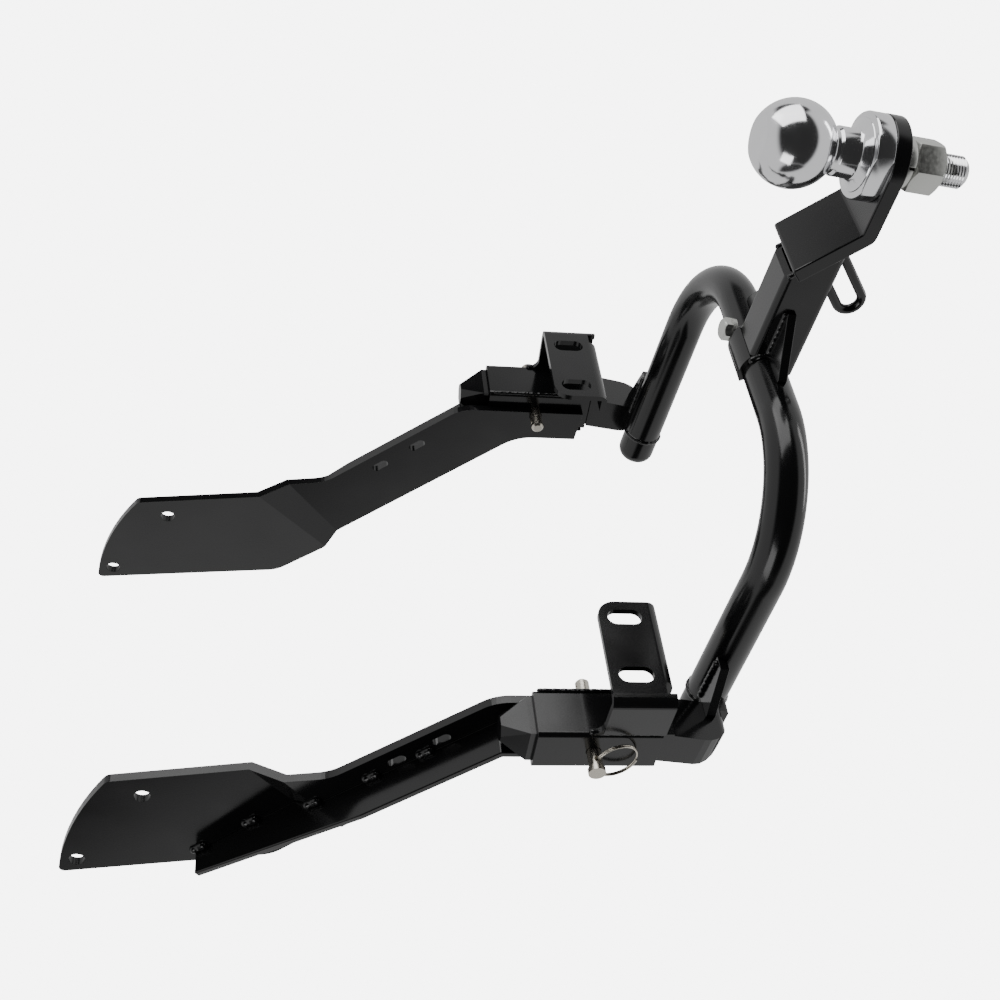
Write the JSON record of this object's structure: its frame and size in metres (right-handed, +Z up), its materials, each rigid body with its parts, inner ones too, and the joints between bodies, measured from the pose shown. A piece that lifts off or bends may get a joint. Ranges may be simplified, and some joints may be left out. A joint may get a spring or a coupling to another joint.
{
  "type": "detachable motorcycle ball hitch",
  "caption": "Detachable ball hitch: U-shaped tube tongue with a ball and chain loop, locked by ring pins into receivers on a pair of bent side brackets.",
  "frame": {"origin": "centre of the hitch ball", "axes": "+X to the vehicle's right, +Y forwards along the vehicle, +Z up through the ball's shank"},
  "size_m": [0.392, 0.5764, 0.4684],
  "materials": {
    "black_powder_coat": "deep gloss black powder coat over welded steel",
    "bright_chrome": "bright polished chrome plate",
    "zinc_plate": "clear zinc plate on steel fasteners",
    "nickel_plate": "satin nickel plate on steel"
  },
  "bodies": {
    "hitch": {"hitch_ball": "bright_chrome", "ball_flat_washer": "zinc_plate", "ball_lock_washer": "zinc_plate", "ball_nut": "zinc_plate", "ball_plate": "black_powder_coat", "drawbar": "black_powder_coat", "upper_saddle": "black_powder_coat", "lower_saddle": "black_powder_coat", "left_drawbar_gusset": "black_powder_coat", "right_drawbar_gusset": "black_powder_coat", "chain_loop": "black_powder_coat", "tongue_tube": "black_powder_coat", "accessory_insert": "zinc_plate", "accessory_bolt": "zinc_plate", "left_tube_plug": "black_powder_coat", "right_tube_plug": "black_powder_coat", "left_prong": "black_powder_coat", "right_prong": "black_powder_coat", "left_foot_gusset": "black_powder_coat", "right_foot_gusset": "black_powder_coat", "left_side_plate": "black_powder_coat", "right_side_plate": "black_powder_coat", "left_stiffener": "black_powder_coat", "right_stiffener": "black_powder_coat", "left_receiver": "black_powder_coat", "right_receiver": "black_powder_coat", "left_slot_bracket": "black_powder_coat", "right_slot_bracket": "black_powder_coat"},
    "left_pin": {"left_lock_pin": "nickel_plate", "left_detent_ball": "nickel_plate", "left_detent_spring": "nickel_plate"},
    "left_ring": {"left_pin_ring": "nickel_plate"},
    "right_pin": {"right_lock_pin": "nickel_plate", "right_detent_ball": "nickel_plate", "right_detent_spring": "nickel_plate"},
    "right_ring": {"right_pin_ring": "nickel_plate"}
  },
  "joints": [
    {"name": "left_pin_pull", "type": "slide", "parent": "hitch", "child": "left_pin", "axis": [-1, 0, 0], "range_m": [0, 0.06]},
    {"name": "left_ring_swing", "type": "hinge", "parent": "left_pin", "child": "left_ring", "pos_m": [-0.188, 0.3312, 0.048], "axis": [0, 1, 0], "range_deg": [-2, 205]},
    {"name": "right_pin_pull", "type": "slide", "parent": "hitch", "child": "right_pin", "axis": [1, 0, 0], "range_m": [0, 0.06]},
    {"name": "right_ring_swing", "type": "hinge", "parent": "right_pin", "child": "right_ring", "pos_m": [0.188, 0.3312, 0.048], "axis": [0, -1, 0], "range_deg": [-2, 205]}
  ]
}
